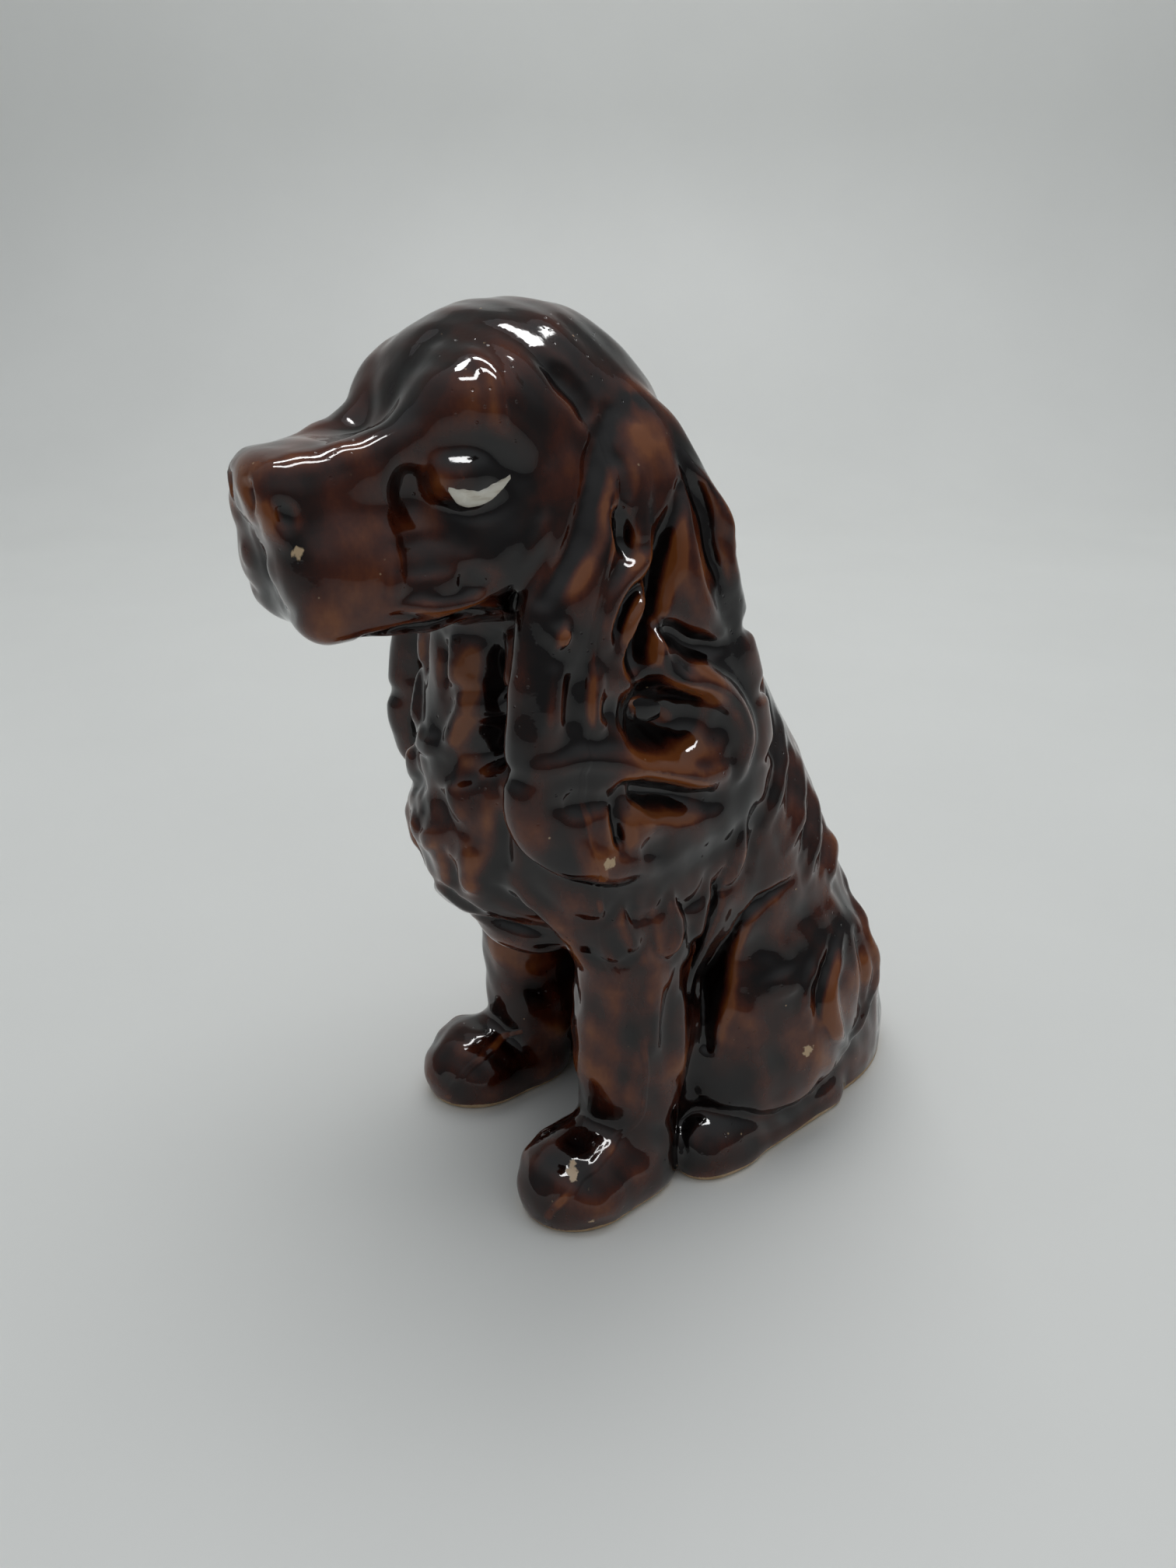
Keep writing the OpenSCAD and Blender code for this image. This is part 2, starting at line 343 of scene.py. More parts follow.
MUZZLE_STROKES = [
    (2.3, -2.2, [(4.2, 170.5), (6.6, 169.5), (6.8, 167)]),                         # nostril
    (2.0, -0.5, [(0, 162.5), (5, 163), (9.5, 166), (10.5, 171)]),  # edge of the nose
    (2.0, -0.9, [(0, 163), (0, 157), (0, 151.5)]),
    (2.4, -0.5, [(0, 151.5), (5, 148.5), (10, 148), (15, 151)]),                   # lips
    (3.5, 0.7, [(6, 158), (8, 153)]),
]
FLANK_STROKES = [
    (3.6, 1.6, [(21, 127), (18, 120), (16, 112)]), (2.6, -1.2, [(26, 120), (22, 112), (18, 104)]),
    (3.6, 1.5, [(30, 113), (26, 106), (21, 98), (16, 91)]),
    (2.4, -1.1, [(33, 106), (28, 98), (22, 90)]),
    (3.6, 1.4, [(37, 101), (33, 95), (29, 89), (23, 83)]),
    (2.4, -1.1, [(40, 94), (35, 87), (28, 79)]),
    (3.6, 1.4, [(44, 90), (40, 85), (36, 79), (31, 73)]),
    (2.4, -1.1, [(47, 82), (42, 76), (36, 71)]),
    (3.6, 1.3, [(51, 77), (46, 72), (41, 67)]), (3.2, 1.2, [(58, 64), (55, 57), (53, 50)]),
    (3.0, 1.3, [(9, 96), (7, 87), (7, 78)]), (2.4, -1.2, [(13, 92), (11, 85), (11, 79)]),
    (2.4, -2.6, [(3, 84), (2, 76), (1, 68), (0, 60), (-1, 50)]),  # behind the shoulder
    (2.6, -3.0, [(25, 75), (19, 73), (14, 70), (11, 66), (9, 58), (7, 50), (5, 42), (4, 34)]),
    (3.0, 1.4, [(-12, 82), (-10, 74), (-12, 66)]), (3.0, 1.3, [(-24, 84), (-22, 76), (-20, 69)]),
    (2.4, -1.1, [(-18, 84), (-17, 76), (-16, 69)]), (3.0, 1.1, [(-3, 80), (-3, 72), (-5, 64)]),
    (2.6, -0.8, [(-9, 64), (-11, 50), (-11, 34)]), (3.0, 0.9, [(-15, 66), (-15, 52), (-16, 36)]),
    (2.6, -0.7, [(-20, 60), (-20, 46), (-21, 30)]), (3.0, 0.7, [(-5, 58), (-6, 44), (-7, 28)]),
]
# Two rows of scalloped tufts over the shoulder.
TUFTS = [(2.3, -1.0, [(y - 5, z + 6), (y - 2.5, z), (y + 2, z), (y + 4.5, z + 6)])
         for z, row in ((79, (-28, -17, -6, 5)), (67, (-23, -12, -1))) for y in row]
HAUNCH_STROKES = [
    (2.4, 1.2, [(31, 54), (27, 48), (25, 41)]),
    (3.0, 1.8, [(41, 56), (36, 50), (33, 43), (36, 33), (44, 24)]),
    (2.6, -1.4, [(37, 56), (31, 46), (29, 36)]),
    (3.0, 1.7, [(52, 52), (55, 42), (53, 32), (44, 22)]),
    (2.8, -1.6, [(47, 54), (47, 42), (49, 31)]), (2.8, 1.2, [(60, 42), (62, 31), (56, 20)]),
    (7.0, 1.2, [(20, 54), (22, 46)]),
]


def along_path(u, v, path):
    """For each point (u, v), its distance to the path and how far along it lies, 0 to 1."""
    gap, along = np.full(len(u), 1e9), np.zeros(len(u))
    total = len(path) - 1
    for i in range(total):
        (au, av), (bu, bv) = path[i], path[i + 1]
        du, dv = bu - au, bv - av
        t = np.clip(((u - au) * du + (v - av) * dv) / (du * du + dv * dv + 1e-9), 0, 1)
        here = np.hypot(u - au - t * du, v - av - t * dv)
        along = np.where(here < gap, (i + t) / total, along)
        gap = np.minimum(gap, here)
    return gap, along


def stroke(u, v, half_width, height, points):
    """Relief of one stroke: full height on its curve, fading to nothing at its half width."""
    path = curve_through(points, 3)
    low, high = path.min(axis=0) - half_width, path.max(axis=0) + half_width
    near = (u > low[0]) & (u < high[0]) & (v > low[1]) & (v < high[1])
    out = np.zeros_like(u)
    if near.any():
        gap, along = along_path(u[near], v[near], path)
        # The stroke narrows and fades towards both its ends.
        fade = smoothstep(0, 0.28, along) * smoothstep(1, 0.72, along)
        width = half_width * (0.65 + 0.35 * fade)
        out[near] = height * (0.30 + 0.70 * fade) * np.maximum(1 - (gap / width) ** 2, 0) ** 2
    return out


def relief(p, f):
    """Sum of the strokes, each set confined to the form it belongs to."""
    x, y, z = np.abs(p[0]), p[1], p[2]

    def lead(name):
        """How much nearer the form is than any other, in mm."""
        return np.minimum.reduce([f[other] for other, _ in FORMS if other != name]) - f[name]

    body = np.minimum(f["torso"], f["foreleg"])
    rest = np.minimum(np.minimum(f["ear"], f["head"]), f["hind_paw"])
    on_body = smoothstep(-1.5, 1.5, rest - body)
    on_ear = smoothstep(-1.5, 1.5, lead("ear")) * smoothstep(20, 26, x)
    on_head = smoothstep(-1, 2, lead("head"))
    on_face, on_nose = on_head * smoothstep(6, 10, x), on_head * smoothstep(-74, -79, y)
    on_haunch = smoothstep(-1, 2, lead("haunch")) * smoothstep(16, 26, x)
    on_chest = on_body * smoothstep(-22, -34, y) * smoothstep(33, 28, x)
    on_flank = on_body * smoothstep(14, 24, x) * smoothstep(-34, -24, y)
    layers = (
        (on_ear, y, EAR_STROKES), (on_face, y, FACE_STROKES), (on_chest, x, CHEST_STROKES),
        (on_nose, x, MUZZLE_STROKES), (on_flank, y, FLANK_STROKES + TUFTS),
        (on_haunch, y, HAUNCH_STROKES),
    )
    total = np.zeros_like(x)
    for mask, across, strokes in layers:
        live = mask > 0.001
        if live.any():
            u, v = across[live], z[live]
            total[live] += mask[live] * sum(stroke(u, v, *one) for one in strokes)
    return total


def figure(p):
    """Distance to the whole figure: forms, relief and the flat cut at the table."""
    f = forms(p)
    body = join(4, f["torso"], f["head"])
    body = join(3, body, join(2.5, f["foreleg"], f["haunch"]))
    body = join(2, body, f["hind_paw"])
    body = join(3, body, f["tail"])
    body = join(2.0, body, f["ear"])
    return cut(0.6, body - relief(p, f), p[2])


# ---------------------------------------------------------------- surface
def sculpt():
    """The surface of the figure as points (mm) and quads."""
    # Coarse blocks find where the surface is; only those are worked out cell by cell.
    block = COARSE * CELL
    blocks = np.ceil((CORNER_HIGH - CORNER_LOW) / block).astype(int)
    axes = [CORNER_LOW[i] + (np.arange(blocks[i]) + 0.5) * block - CELL / 2 for i in range(3)]
    value = figure([c.ravel() for c in np.meshgrid(*axes, indexing="ij")])
    near = np.abs(value) < block * math.sqrt(3) / 2 + SLACK
    field = np.where(value > 0, BAND, -BAND).reshape(blocks).astype(np.float32)
    for axis in range(3):
        field = np.repeat(field, COARSE, axis)
    offset = np.stack(np.meshgrid(*[np.arange(COARSE)] * 3, indexing="ij"), -1).reshape(-1, 3)
    index = np.stack(np.unravel_index(np.nonzero(near)[0], blocks), -1) * COARSE
    index = (index[:, None] + offset[None]).reshape(-1, 3)
    for part in np.array_split(index, max(1, len(index) // BATCH)):
        field[tuple(part.T)] = np.clip(figure((CORNER_LOW + part * CELL).T), -BAND, BAND)
    # The half is mirrored, and the grid's own mesher finds the surface in it.
    both = np.concatenate([field[:0:-1], field], 0)
    grid = vdb.FloatGrid(BAND)
    grid.copyFromArray(np.ascontiguousarray(both, dtype=np.float32))
    points, quads = grid.convertToQuads(isovalue=0.0)
    start = [-(len(field) - 1) * CELL, CORNER_LOW[1], CORNER_LOW[2]]
    return points.astype(float) * CELL + start, quads.astype(np.int64)


# ---------------------------------------------------------------- build
def edge_list(quads):
    """Each edge once, with the two faces on it: (edges, faces)."""
    n = len(quads)
    ends = np.concatenate([quads[:, [i, (i + 1) % 4]] for i in range(4)])
    face = np.tile(np.arange(n), 4)
    ends.sort(axis=1)
    key = ends[:, 0] * (quads.max() + 1) + ends[:, 1]
    order = np.argsort(key, kind="stable")
    first = order[0::2]
    return ends[first], np.stack([face[first], face[order[1::2]]], 1)


class Smoother:
    """Averages values over the neighbours of each vertex."""

    def __init__(self, edges, count):
        self.a, self.b, self.count = edges[:, 0], edges[:, 1], count
        self.degree = np.bincount(self.a, minlength=count) + np.bincount(self.b, minlength=count)

    def mean(self, values):
        columns = values.reshape(self.count, -1)
        out = np.empty_like(columns)
        for c in range(columns.shape[1]):
            v = columns[:, c]
            total = (np.bincount(self.a, v[self.b], self.count)
                     + np.bincount(self.b, v[self.a], self.count))
            out[:, c] = total / self.degree
        return out.reshape(values.shape)

    def relax(self, values, times, factor=0.5):
        for _ in range(times):
            values = values + factor * (self.mean(values) - values)
        return values

    def taubin(self, values, times):
        """Smoothing that takes off the ripples but doesn't shrink the shape."""
        for _ in range(times):
            values = self.relax(self.relax(values, 1, 0.5), 1, -0.53)
        return values


def unit(vectors):
    return vectors / np.linalg.norm(vectors, axis=1, keepdims=True)


def vertex_normals(points, quads):
    """Area-weighted normals, evened out over the neighbours of each vertex."""
    corners = points[quads]
    across = np.cross(corners[:, 2] - corners[:, 0], corners[:, 3] - corners[:, 1])
    total = np.zeros_like(points)
    for c in range(3):
        for corner in range(4):
            total[:, c] += np.bincount(quads[:, corner], across[:, c], len(points))
    total /= np.linalg.norm(total, axis=1, keepdims=True) + 1e-12
    return unit(net.relax(total, 3))


def ripple(p, wavelength, seed, waves=9):
    """A smooth random field in about -1 to 1, made of sine waves in random directions."""
    draw = np.random.default_rng(seed)
    total = np.zeros(len(p))
    for _ in range(waves):
        way = draw.normal(size=3)
        way *= draw.uniform(0.7, 1.5) / np.linalg.norm(way)
        total += np.sin(p @ way * (2 * math.pi / wavelength) + draw.uniform(0, 2 * math.pi))
    return total / math.sqrt(waves / 2) / 1.6


points, quads = sculpt()
edges, edge_faces = edge_list(quads)
net = Smoother(edges, len(points))
points = net.taubin(points, 10)
normals = vertex_normals(points, quads)

# Hand finishing: the two sides of the casting differ a little.
above_table = smoothstep(0.5, 8, points[:, 2])[:, None]
hair_depth = 0.14 + 0.14 * smoothstep(120, 100, points[:, 2])
finish = 0.45 * ripple(points, 26, 4) + hair_depth * ripple(points, 9, 5)
points = points + normals * above_table * finish[:, None]

# The glaze stops on a slightly wavy line above the table. Vertices within about half a
# cell of that line move onto it, and those beside the vent hole move onto its round edge.
line = GLAZE_LINE + 0.3 * ripple(points, 22, 6)
near_line = np.abs(points[:, 2] - line) < 0.55 * CELL
points[near_line, 2] = line[near_line]
from_vent = points[:, :2] - VENT_CENTRE
vent_distance = np.linalg.norm(from_vent, axis=1)
on_rim = (points[:, 2] < 0.3) & (np.abs(vent_distance - VENT_RADIUS) < 0.75 * CELL)
to_edge = (VENT_RADIUS / vent_distance[on_rim])[:, None]
points[on_rim, :2] = VENT_CENTRE + from_vent[on_rim] * to_edge
normals = vertex_normals(points, quads)


# ---------------------------------------------------------------- glaze thickness
def closeness(reach):
    """How much the surface closes in on a point at this height over it: 0 where it is flat.

    A negative reach looks inside, and is above 0 where the surface is a crest.
    """
    return 1 - figure((points + reach * normals).T) / reach


def spot(centre, radii):
    """A soft spot on each side of the figure: 1 at its centre, falling off to 0."""
    left = np.stack([np.abs(points[:, 0]), points[:, 1], points[:, 2]], 1)
    away = np.linalg.norm((left - centre) / radii, axis=1)
    return np.exp(-(away**2))


# Glaze pools in hollows and runs off crests.
thinness = 0.46 - 0.90 * closeness(2.5) - 0.26 * closeness(7.0) + 0.75 * closeness(-3.5)
thinness += 0.10 * ripple(points * [1, 1, 0.6], 15, 8) + 0.05 * ripple(points, 6, 9)
# Deep pools of glaze on the ear, the throat and the flank, made darker still as painted shade in
# the deepest hollows and the gaps between parts: x, y, z and the three radii
POOLS_AND_PAINTED_SHADE = [
    (36, -13, 123, 9, 13, 6), (38, -13, 107, 8, 14, 5), (35, -15, 143, 6, 5, 9),
    (15, -44, 117, 5, 8, 9), (32, -45, 122, 3, 5, 22), (35, 3, 62, 9, 5, 22),
]
# Each spot darkens the glaze: pooled glaze, and painted shade where the hollows and gaps are
# deepest.
for x, y, z, *radii in POOLS_AND_PAINTED_SHADE:
    thinness -= 0.42 * spot([x, y, z], radii)
# The glaze is made darker over the eye and its socket.
thinness -= 0.38 * spot([24, -47, 172.5], [6, 8, 5])
thinness = net.relax(thinness, 2)

# Distance to the mould's seam down each side, given as (y, z)
SEAM = [
    (-22, 180), (-22, 169), (-25, 158), (-29, 145), (-31, 130), (-33, 115), (-32, 101),
    (-29, 90), (-27, 80), (-25, 70), (-18, 50), (-16, 30), (-20, 20), (-34, 14), (-40, 8),
    (-42, 2),
]
FAR = 9.0           # distances to seams and chips are kept up to this
seam, _ = along_path(points[:, 1], points[:, 2], curve_through(SEAM, 4))
seam = np.where(np.abs(points[:, 0]) > 15, np.minimum(seam, FAR), FAR)

# Distance to places where the glaze missed or chipped: x, y, z, radius
MISSES = [
    (34, -35, 16, 2.2), (32, -34, 16.5, 1.2), (38, -33, 5, 1.4), (38, -29, 96, 2.0),
    (15, -79, 160, 1.3), (42, 27, 31, 1.7), (36, -33, 12, 1.0), (-33, -30, 15, 1.3),
    (-40, 20, 26, 0.9), (12, 70, 44, 0.9),
]
miss = np.full(len(points), FAR)
for x, y, z, radius in MISSES:
    miss = np.minimum(miss, np.linalg.norm(points - [x, y, z], axis=1) - radius)


# ---------------------------------------------------------------- division into pieces
SPLIT = [name for name, _ in FORMS]
PAIRED = ("ear", "foreleg", "haunch", "hind_paw")
SIDES = ("left_", "right_")
PIECES = ["head", "torso", "tail", "foot"] + [side + name for name in PAIRED for side in SIDES]
SPREAD = 400        # bound on the passes that give away the stray patches


def piece_labels():
    """For each face, which piece it belongs to: an index into PIECES."""
    f = forms(points.T)
    distances = net.relax(np.stack([f[name] for name in SPLIT], 1), 12)
    centre = points[quads].mean(1)
    form = distances[quads].mean(1).argmin(1)
    number = np.array([[PIECES.index(side + name if name in PAIRED else name) for name in SPLIT]
                       for side in SIDES])
    label = number[np.where(centre[:, 0] >= 0, 0, 1), form]
    label[centre[:, 2] < line[quads].mean(1)] = PIECES.index("foot")
    return label


def connected(label):
    """Number of the island that each face belongs to, where islands share a label."""
    a, b = edge_faces[label[edge_faces[:, 0]] == label[edge_faces[:, 1]]].T
    island = np.arange(len(label))
    while True:
        low = np.minimum(island[a], island[b])
        new = island.copy()
        np.minimum.at(new, a, low)
        np.minimum.at(new, b, low)
        np.minimum.at(new, island[a], low)
        np.minimum.at(new, island[b], low)
        new = new[new]
        new = new[new]
        if (new == island).all():
            return island
        island = new


def without_islands(label):
    """Every piece keeps its largest patch, and its stray patches join what lies round them."""
    island = connected(label)
    size = np.bincount(island, minlength=len(label))
    keep = np.zeros(len(label), bool)
    for k in np.unique(label):
        mine = np.unique(island[label == k])
        keep |= island == mine[size[mine].argmax()]
    a, b = edge_faces.T
    for _ in range(SPREAD):
        if keep.all():
            break
        for here, there in ((a, b), (b, a)):
            gain = ~keep[here] & keep[there]
            label[here[gain]] = label[there[gain]]
            keep[here[gain]] = True
    return label


label = without_islands(piece_labels())

# The inner wall follows a smoother copy of the surface.
inner_points = net.relax(points, 14) - WALL * unit(net.relax(normals, 10))
inner_points[:, 2] = np.maximum(inner_points[:, 2], WALL)


def new_object(name, data):
    obj = bpy.data.objects.new(name, data)
    bpy.context.scene.collection.objects.link(obj)
    return obj


def read_vectors(vertices, title):
    """One vector of each vertex, as rows."""
    flat = np.empty(3 * len(vertices), np.float32)
    vertices.foreach_get(title, flat)
    return flat.reshape(-1, 3)


def shell_mesh(name, faces, inner, material):
    """A closed mesh from a patch of the figure: the patch, its inner wall and the rim between."""
    used, patch = np.unique(faces, return_inverse=True)
    patch = patch.reshape(faces.shape)
    n = len(used)
    # The rim is the edges that no neighbour runs along the other way.
    ends = np.concatenate([patch[:, [i, (i + 1) % 4]] for i in range(4)])
    key, back = ends[:, 0] * n + ends[:, 1], ends[:, 1] * n + ends[:, 0]
    rim = ends[~np.isin(key, back)]
    walls = np.stack([rim[:, 1], rim[:, 0], rim[:, 0] + n, rim[:, 1] + n], 1)
    every = np.concatenate([patch, patch[:, ::-1] + n, walls])
    at = np.concatenate([points[used], inner[used]]) * MM
    mesh = bpy.data.meshes.new(name)
    mesh.vertices.add(len(at))
    mesh.vertices.foreach_set("co", at.astype(np.float32).ravel())
    mesh.loops.add(4 * len(every))
    mesh.loops.foreach_set("vertex_index", every.astype(np.int32).ravel())
    mesh.polygons.add(len(every))
    starts = np.arange(0, 4 * len(every), 4, dtype=np.int32)
    mesh.polygons.foreach_set("loop_start", starts)
    mesh.polygons.foreach_set("use_smooth", np.ones(len(every), bool))
    mesh.update()
    for title, values in (("thinness", thinness), ("seam", seam), ("miss", miss)):
        layer = mesh.attributes.new(title, "FLOAT", "POINT")
        layer.data.foreach_set("value", np.tile(values[used], 2).astype(np.float32))
    mesh.materials.append(material)
    obj = new_object(name, mesh)

    # The hidden inner wall is thinned out; the outside and the rim stay as they are.
    group = obj.vertex_groups.new(name="inner")
    inside = np.setdiff1d(np.arange(n), np.unique(rim)) + n
    group.add(inside.tolist(), 1.0, "REPLACE")
    thin = obj.modifiers.new("inner", "DECIMATE")
    thin.vertex_group = "inner"
    thin.ratio = 1 - (1 - INNER_KEPT) * len(inside) / len(at)
    evaluated = obj.evaluated_get(bpy.context.evaluated_depsgraph_get())
    final = bpy.data.meshes.new_from_object(evaluated)
    obj.modifiers.clear()
    obj.vertex_groups.clear()
    obj.data = final
    final.name = name

    # The outside takes the normals of the whole figure, so that no joint shows in the glaze.
    if not np.allclose(read_vectors(final.vertices, "co")[:n], at[:n], atol=1e-6):
        raise RuntimeError("the outer vertices of " + name + " moved")
    shown = read_vectors(final.vertices, "normal")
    shown[:n] = normals[used]
    final.normals_split_custom_set_from_vertices(shown.tolist())
    return obj


# ---------------------------------------------------------------- materials
class Nodes:
    """Short calls for building a node tree."""

    def __init__(self, name):
        self.material = bpy.data.materials.new(name)
        self.material.use_nodes = True
        self.tree = self.material.node_tree
        self.tree.nodes.clear()
        self.shader = self.add("ShaderNodeBsdfPrincipled")
        out = self.add("ShaderNodeOutputMaterial")
        self.tree.links.new(self.shader.outputs[0], out.inputs["Surface"])
        self.place = self.add("ShaderNodeTexCoord").outputs["Object"]

    def add(self, kind, settings=None, **inputs):
        made = self.tree.nodes.new(kind)
        for key, value in (settings or {}).items():
            setattr(made, key, value)
        for key, value in inputs.items():
            self.set(made, key.replace("_", " "), value)
        return made

    def set(self, made, key, value):
        socket = made.inputs[int(key)] if key.isdigit() else made.inputs[key]
        if isinstance(value, bpy.types.NodeSocket):
            self.tree.links.new(value, socket)
        else:
            socket.default_value = value

    def math(self, operation, a, b=0.0, c=0.0, clamp=False):
        made = self.add("ShaderNodeMath", {"operation": operation, "use_clamp": clamp})
        for i, value in enumerate((a, b, c)):
            self.set(made, str(i), value)
        return made.outputs[0]

    def noise(self, scale, detail, stretch=(1, 1, 1), roughness=0.5):
        mapped = self.add("ShaderNodeMapping", Vector=self.place, Scale=stretch).outputs[0]
        return self.add("ShaderNodeTexNoise", Vector=mapped, Scale=scale, Detail=detail,
                        Roughness=roughness).outputs["Fac"]

    def spots(self, scale):
        """Distance to the nearest of many scattered points."""
        return self.add("ShaderNodeTexVoronoi", {"feature": "F1"}, Vector=self.place,
                        Scale=scale, Randomness=1.0).outputs["Distance"]

    def step(self, value, lo, hi, out_lo=0.0, out_hi=1.0):
        made = self.add("ShaderNodeMapRange", {"interpolation_type": "SMOOTHSTEP"}, Value=value)
        ends = {"From Min": lo, "From Max": hi, "To Min": out_lo, "To Max": out_hi}
        for key, number in ends.items():
            made.inputs[key].default_value = number
        return made.outputs[0]

    def ramp(self, value, stops):
        made = self.add("ShaderNodeValToRGB", Fac=value)
        elements = made.color_ramp.elements
        while len(elements) < len(stops):
            elements.new(0.5)
        for element, (at, colour) in zip(elements, stops):
            element.position, element.color = at, (*colour, 1)
        return made.outputs[0]

    def mix(self, amount, a, b):
        made = self.add("ShaderNodeMix", {"data_type": "RGBA"})
        self.tree.links.new(amount, made.inputs[0])
        for socket, value in ((made.inputs[6], a), (made.inputs[7], b)):
            if isinstance(value, bpy.types.NodeSocket):
                self.tree.links.new(value, socket)
            else:
                socket.default_value = (*value, 1)
        return made.outputs[2]

    def field(self, name):
        return self.add("ShaderNodeAttribute", {"attribute_name": name}).outputs["Fac"]

    def bump(self, height, distance, strength=1.0, after=None):
        made = self.add("ShaderNodeBump", Height=height, Distance=distance, Strength=strength)
        if after is not None:
            self.tree.links.new(after, made.inputs["Normal"])
        return made.outputs[0]


CLAY = (0.56, 0.40, 0.24)
STAINED_CLAY = (0.16, 0.07, 0.03)
# Colour ramps: each row has a position from 0 to 1 and the colour there.
CLAY_COLOURS = [(0.3, (0.42, 0.27, 0.14)), (0.55, CLAY), (0.8, (0.68, 0.52, 0.35))]
GLAZE_COLOURS = [       # from thick to thin glaze
    (0.0, (0.003, 0.001, 0.001)), (0.20, (0.009, 0.002, 0.001)),
    (0.40, (0.031, 0.006, 0.0025)), (0.58, (0.062, 0.0115, 0.004)),
    (0.78, (0.112, 0.026, 0.007)), (1.0, (0.20, 0.058, 0.014)),
]
ENAMEL_COLOURS = [
    (0.30, (0.62, 0.55, 0.44)), (0.50, (0.80, 0.76, 0.66)), (0.75, (0.88, 0.85, 0.77)),
]
GLAZE_IOR = 1.52


def brown_glaze():
    """Treacle glaze: amber where it is thin, nearly black where it pools, very glossy."""
    n = Nodes("brown_glaze")
    thin = n.field("thinness")
    for weight, *noise in (
            (0.75, 120, 4, (1, 1, 0.6), 0.6),       # mottling
            (0.36, 230, 3, (1, 1, 0.3), 0.55),      # runs
            (0.12, 900, 2)):                        # specks
        thin = n.math("MULTIPLY_ADD", n.noise(*noise), weight, thin)
    thin = n.math("SUBTRACT", thin, 0.62)
    # The mould seam stands a little proud, so the glaze is thin along broken stretches of it.
    seam = n.step(n.field("seam"), 0.3, 1.0, 1.0, 0.0)
    seam_here = n.math("MULTIPLY", seam, n.step(n.noise(75, 2), 0.48, 0.66))
    thin = n.math("MULTIPLY_ADD", seam_here, 0.7, thin, clamp=True)
    colour = n.ramp(thin, GLAZE_COLOURS)
    ragged = n.math("MULTIPLY_ADD", n.noise(700, 3), 2.6, n.field("miss"))
    chip = n.step(ragged, 0.9, 1.35, 1.0, 0.0)
    colour = n.mix(chip, colour, CLAY)
    # Pinholes: tiny spots, here and there, where a bubble burst and the clay shows.
    pinhole = n.math("MULTIPLY", n.step(n.spots(230.0), 0.04, 0.075, 1.0, 0.0),
                     n.step(n.noise(85, 2), 0.56, 0.62))
    colour = n.mix(n.math("MULTIPLY", pinhole, 0.55), colour, CLAY)
    n.set(n.shader, "Base Color", colour)
    n.set(n.shader, "IOR", GLAZE_IOR)
    gloss = n.step(n.noise(160, 3), 0.35, 0.75, 0.04, 0.10)
    n.set(n.shader, "Roughness", n.math("MULTIPLY_ADD", chip, 0.45, gloss))
    # Relief too fine for the mesh: slow waves, then orange peel, patches of pits and the seam.
    waves = n.bump(n.noise(70, 2), 0.0007, 0.5)
    pits = n.math("SUBTRACT", n.step(n.spots(420.0), 0.05, 0.16), 1.0)
    pits = n.math("MULTIPLY", pits, n.step(n.noise(60, 2), 0.52, 0.66))
    peel = n.math("MULTIPLY", n.noise(420, 2), 0.035)
    height = n.math("MULTIPLY_ADD", pits, 0.12, peel)
    height = n.math("MULTIPLY_ADD", seam, 0.12, height)
    n.set(n.shader, "Normal", n.bump(height, 0.001, 1.0, waves))
    return n.material


def bare_clay():
    """Buff earthenware, matt and slightly gritty, with darker stains here and there."""
    n = Nodes("bare_clay")
    colour = n.ramp(n.noise(160, 5), CLAY_COLOURS)
    stain = n.step(n.noise(90, 3), 0.52, 0.70)
    colour = n.mix(n.math("MULTIPLY", stain, 0.6), colour, STAINED_CLAY)
    n.set(n.shader, "Base Color", colour)
    n.set(n.shader, "Roughness", n.step(n.noise(300, 3), 0.3, 0.7, 0.75, 0.95))
    n.set(n.shader, "Normal", n.bump(n.noise(1400, 4), 0.0004, 0.6))
    return n.material


def white_enamel():
    """Cream enamel brushed over the glaze, streaked where the brush ran dry."""
    n = Nodes("white_enamel")
    streaks = n.noise(900, 3, (0.3, 0.3, 1.0))
    n.set(n.shader, "Base Color", n.ramp(streaks, ENAMEL_COLOURS))
    n.set(n.shader, "Roughness", n.step(n.noise(400, 2), 0.3, 0.7, 0.16, 0.30))
    n.set(n.shader, "Normal", n.bump(streaks, 0.0003, 0.5))
    return n.material


def pale_table():
    """A matt table top, very slightly uneven in tone."""
    n = Nodes("pale_table")
    pale, paler = (0.776, 0.7857, 0.7663), (0.80, 0.81, 0.79)
    n.set(n.shader, "Base Color", n.ramp(n.noise(8, 3), [(0.3, pale), (0.7, paler)]))
    n.set(n.shader, "Roughness", 0.55)
    return n.material


GLAZE, CLAY_MATERIAL, ENAMEL = brown_glaze(), bare_clay(), white_enamel()

for k, name in enumerate(PIECES):
    mine = quads[label == k]
    if name == "foot":
        # A plate with the vent hole left open, kept just clear of the walls over it.
        from_vent = points[mine].mean(1)[:, :2] - VENT_CENTRE
        mine = mine[np.linalg.norm(from_vent, axis=1) > VENT_RADIUS]
        upper = points - (WALL + 0.2) * normals * [1, 1, 0]
        upper[:, 2] = WALL - 0.1
        obj = shell_mesh("clay_foot", mine, upper, CLAY_MATERIAL)
    else:
        obj = shell_mesh("glazed_" + name, mine, inner_points, GLAZE)
    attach(obj, "root")
    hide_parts(name)


# ---------------------------------------------------------------- enamel eye whites
# Lower and upper edge of the crescent under the left eye, rear to front, as (y, z)
WHITE_LOWER = [(-41.0, 171.0), (-43.0, 168.6), (-45.5, 166.6), (-48.5, 165.9), (-51.0, 167.0),
               (-53.0, 169.6)]
WHITE_UPPER = [(-41.0, 171.4), (-43.5, 170.6), (-46.0, 169.6), (-48.5, 169.4), (-51.0, 169.8),
               (-53.0, 170.2)]
OUTSIDE = 60.0      # a distance to the side that is clear of the figure
SUNK, RAISED = 0.12, 0.62       # the coat's edge lies under the glaze, and its middle rises
UNDERSIDE = 0.5     # depth of the patch's back, out of sight in the face
figure_tree = BVHTree.FromPolygons((points * MM).tolist(), quads.tolist())


